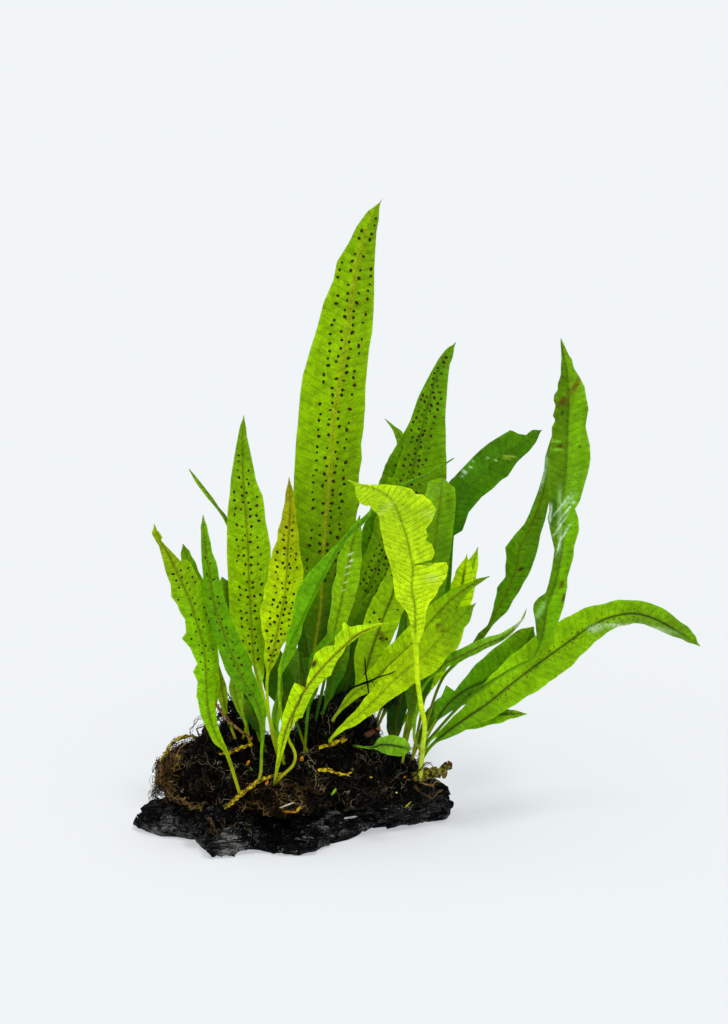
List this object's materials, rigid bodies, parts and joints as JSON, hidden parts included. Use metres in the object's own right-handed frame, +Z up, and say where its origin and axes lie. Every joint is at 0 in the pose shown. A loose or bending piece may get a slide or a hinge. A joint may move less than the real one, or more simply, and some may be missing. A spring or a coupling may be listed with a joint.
{
  "type": "java fern on driftwood",
  "caption": "Aquarium fern with long upright fronds, creeping rhizomes and a felt of roots, grown onto a low piece of dark driftwood that rests flat.",
  "frame": {"origin": "the flat underside of the driftwood's trunk, below its middle", "axes": "+Z up, +X to the right of the plant's front view, +Y away from it"},
  "size_m": [0.2808, 0.1765, 0.3164],
  "materials": {
    "wood": "dark waterlogged wood, damp sheen, rough grain",
    "roots": "wet felt of brown-black roots",
    "rhizome": "knobbly olive-yellow skin, slightly glossy",
    "frond": "thin wet green blade, satin, lets light through",
    "young_frond": "thin pale yellow-green blade, satin, lets light through",
    "dry_stalk": "dull brown, fibrous"
  },
  "bodies": {
    "root": {"driftwood_front_foot": "wood", "driftwood_left_arm": "wood", "driftwood_right_arm": "wood", "driftwood_trunk": "wood", "frond_back_broad": "frond", "frond_back_pale": "frond", "frond_back_ragged": "frond", "frond_back_tall": "frond", "frond_bent_tip": "frond", "frond_front_pale": "young_frond", "frond_front_small": "young_frond", "frond_hanging": "frond", "frond_inner_broad": "frond", "frond_inner_round": "frond", "frond_left_blunt": "frond", "frond_left_middle": "frond", "frond_left_outer": "frond", "frond_left_pale": "young_frond", "frond_left_sweeping": "frond", "frond_long_arching": "frond", "frond_low_sprout": "frond", "frond_middle_glossy": "frond", "frond_middle_lower": "frond", "frond_middle_shaded": "frond", "frond_middle_upper": "frond", "frond_rear_left": "frond", "frond_rear_low": "frond", "frond_rear_middle": "frond", "frond_rear_right": "frond", "frond_right_arching": "frond", "frond_right_behind": "frond", "frond_right_hidden": "frond", "frond_right_inner": "frond", "frond_right_light": "young_frond", "frond_right_low": "frond", "frond_right_lowest": "frond", "frond_right_short": "frond", "frond_right_slim": "frond", "frond_right_tall": "frond", "frond_right_upper": "frond", "frond_shaded_left": "frond", "frond_shaded_right": "frond", "frond_speckled": "frond", "frond_sprout_left": "frond", "frond_sprout_low": "frond", "frond_sprout_middle": "frond", "frond_sprout_right": "frond", "frond_tall": "frond", "frond_thin_left": "frond", "old_stipe": "dry_stalk", "rhizome_back": "rhizome", "rhizome_centre": "rhizome", "rhizome_front": "rhizome", "rhizome_left": "rhizome", "rhizome_low": "rhizome", "rhizome_right": "rhizome", "rhizome_upright": "rhizome", "root_mat": "roots"}
  },
  "joints": []
}
